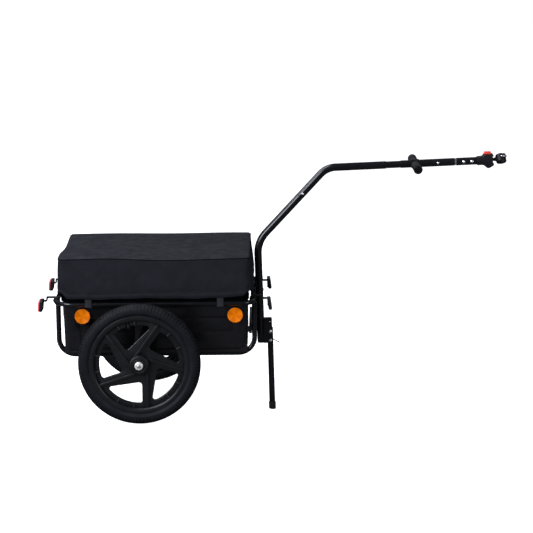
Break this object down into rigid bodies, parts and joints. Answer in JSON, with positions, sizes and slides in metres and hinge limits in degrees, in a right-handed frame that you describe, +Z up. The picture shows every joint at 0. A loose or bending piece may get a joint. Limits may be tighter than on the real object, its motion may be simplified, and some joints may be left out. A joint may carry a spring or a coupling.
{
  "type": "bike cargo trailer",
  "caption": "Bicycle cargo trailer with moulded wheels, tube frame, plastic tub, fabric cover, bent tow bar with ball hitch and push handle, folding prop stand and reflectors.",
  "frame": {"origin": "middle of the trailer's length and width, on the ground under the wheels and the stand's foot", "axes": "+X forwards along the tow bar, +Y to the trailer's left, +Z up; the trailer stands 3.9 degrees nose-up on its stand"},
  "size_m": [1.5192, 0.6366, 0.9247],
  "materials": {
    "frame_paint": "satin black paint",
    "hitch_zinc": "bright zinc",
    "chrome": "polished",
    "bearing_steel": "satin steel",
    "tub_plastic": "fine-grained black plastic",
    "wheel_plastic": "moulded black plastic",
    "hitch_plastic": "moulded black plastic",
    "reflector_housing": "moulded black plastic",
    "tyre_rubber": "matt black tyre rubber",
    "foot_rubber": "black rubber",
    "grip_foam": "closed-cell foam",
    "cover_fabric": "coated woven nylon",
    "amber_lens": "prismatic amber reflector",
    "red_lens": "prismatic red reflector",
    "clear_lens": "prismatic clear reflector",
    "red_button": "smooth red plastic"
  },
  "bodies": {
    "frame": {"axle_beam": "frame_paint", "axle_left": "chrome", "axle_plate_left": "frame_paint", "axle_plate_right": "frame_paint", "axle_right": "chrome", "cross_flat_front": "frame_paint", "cross_flat_rear": "frame_paint", "front_cross_plate": "frame_paint", "handle_crossbar": "frame_paint", "handle_grip_left": "grip_foam", "handle_grip_right": "grip_foam", "handle_tube": "frame_paint", "hitch_bolt_1": "chrome", "hitch_bolt_2": "chrome", "hitch_housing": "hitch_plastic", "hitch_shank": "hitch_zinc", "hitch_sleeve": "frame_paint", "hoop_tube": "frame_paint", "rail_left": "frame_paint", "rail_right": "frame_paint", "reflector_bracket_front_left": "reflector_housing", "reflector_bracket_front_right": "reflector_housing", "reflector_bracket_rear_left": "reflector_housing", "reflector_bracket_rear_right": "reflector_housing", "reflector_lens_front_left": "clear_lens", "reflector_lens_front_right": "clear_lens", "reflector_lens_rear_left": "red_lens", "reflector_lens_rear_right": "red_lens", "stand_bracket": "frame_paint", "stand_pivot_bolt": "chrome", "tow_bar_bolt": "chrome", "tow_bar_clamp": "frame_paint", "tow_bar_lower": "frame_paint", "tow_bar_upper": "frame_paint"},
    "wheel_left": {"rim_left": "wheel_plastic", "tyre_left": "tyre_rubber", "bearings_left": "bearing_steel", "valve_left": "chrome"},
    "wheel_right": {"rim_right": "wheel_plastic", "tyre_right": "tyre_rubber", "bearings_right": "bearing_steel", "valve_right": "chrome"},
    "axle_push_left": {"axle_button_left": "chrome"},
    "axle_push_right": {"axle_button_right": "chrome"},
    "snap_lower": {"snap_button_lower": "chrome"},
    "snap_upper": {"snap_button_upper": "chrome"},
    "hitch_release": {"hitch_button": "red_button"},
    "ball_cup": {"hitch_ball_cup": "hitch_zinc"},
    "ball_stud": {"hitch_ball_stud": "frame_paint"},
    "seat_post_clamp": {"clamp_collar": "hitch_plastic", "clamp_screw": "hitch_zinc"},
    "stand": {"stand_leg": "frame_paint", "stand_foot": "foot_rubber"},
    "stand_lock": {"stand_lock_pin": "chrome"},
    "tub_body": {"tub": "tub_plastic", "amber_reflector_front_left": "amber_lens", "amber_reflector_front_right": "amber_lens", "amber_reflector_rear_left": "amber_lens", "amber_reflector_rear_right": "amber_lens"},
    "cover_body": {"cover": "cover_fabric"}
  },
  "joints": [
    {"name": "wheel_left_spin", "type": "hinge", "parent": "frame", "child": "wheel_left", "pos_m": [-0.41364, 0.28, 0.2], "axis": [0, 1, 0], "continuous": true},
    {"name": "wheel_right_spin", "type": "hinge", "parent": "frame", "child": "wheel_right", "pos_m": [-0.41364, -0.28, 0.2], "axis": [0, 1, 0], "continuous": true},
    {"name": "axle_push_left_slide", "type": "slide", "parent": "frame", "child": "axle_push_left", "axis": [0, -1, 0], "range_m": [0, 0.0025], "stiffness_N_per_m": 800, "springref_m": -0.001},
    {"name": "axle_push_right_slide", "type": "slide", "parent": "frame", "child": "axle_push_right", "axis": [0, 1, 0], "range_m": [0, 0.0025], "stiffness_N_per_m": 800, "springref_m": -0.001},
    {"name": "snap_lower_slide", "type": "slide", "parent": "frame", "child": "snap_lower", "axis": [0, 1, 0], "range_m": [0, 0.0045], "stiffness_N_per_m": 800, "springref_m": -0.001},
    {"name": "snap_upper_slide", "type": "slide", "parent": "frame", "child": "snap_upper", "axis": [0, 1, 0], "range_m": [0, 0.0045], "stiffness_N_per_m": 800, "springref_m": -0.001},
    {"name": "hitch_release_slide", "type": "slide", "parent": "frame", "child": "hitch_release", "axis": [0.1046, 0, -0.9945], "range_m": [0, 0.004], "stiffness_N_per_m": 800, "springref_m": -0.001},
    {"name": "hitch_yaw", "type": "hinge", "parent": "frame", "child": "ball_cup", "pos_m": [0.69662, 0, 0.89387], "axis": [-0.1046, 0, 0.9945], "range_deg": [-25, 25]},
    {"name": "hitch_pitch", "type": "hinge", "parent": "ball_cup", "child": "ball_stud", "pos_m": [0.69662, 0, 0.89387], "axis": [0, -1, 0], "range_deg": [-13, 9]},
    {"name": "clamp_swivel", "type": "hinge", "parent": "ball_stud", "child": "seat_post_clamp", "pos_m": [0.74079, 0, 0.90246], "axis": [0.9816, 0, 0.1909], "range_deg": [-90, 90]},
    {"name": "stand_fold", "type": "hinge", "parent": "frame", "child": "stand", "pos_m": [0.00868, 0, 0.27142], "axis": [0, -1, 0], "range_deg": [0, 178]},
    {"name": "stand_lock_pull", "type": "slide", "parent": "frame", "child": "stand_lock", "axis": [0, -1, 0], "range_m": [0, 0.012], "stiffness_N_per_m": 400, "springref_m": -0.002},
    {"name": "tub_lift", "type": "slide", "parent": "frame", "child": "tub_body", "axis": [-0.0681, 0, 0.9977], "range_m": [0, 0.3]},
    {"name": "cover_lift", "type": "slide", "parent": "tub_body", "child": "cover_body", "axis": [-0.0681, 0, 0.9977], "range_m": [0, 0.3]}
  ]
}
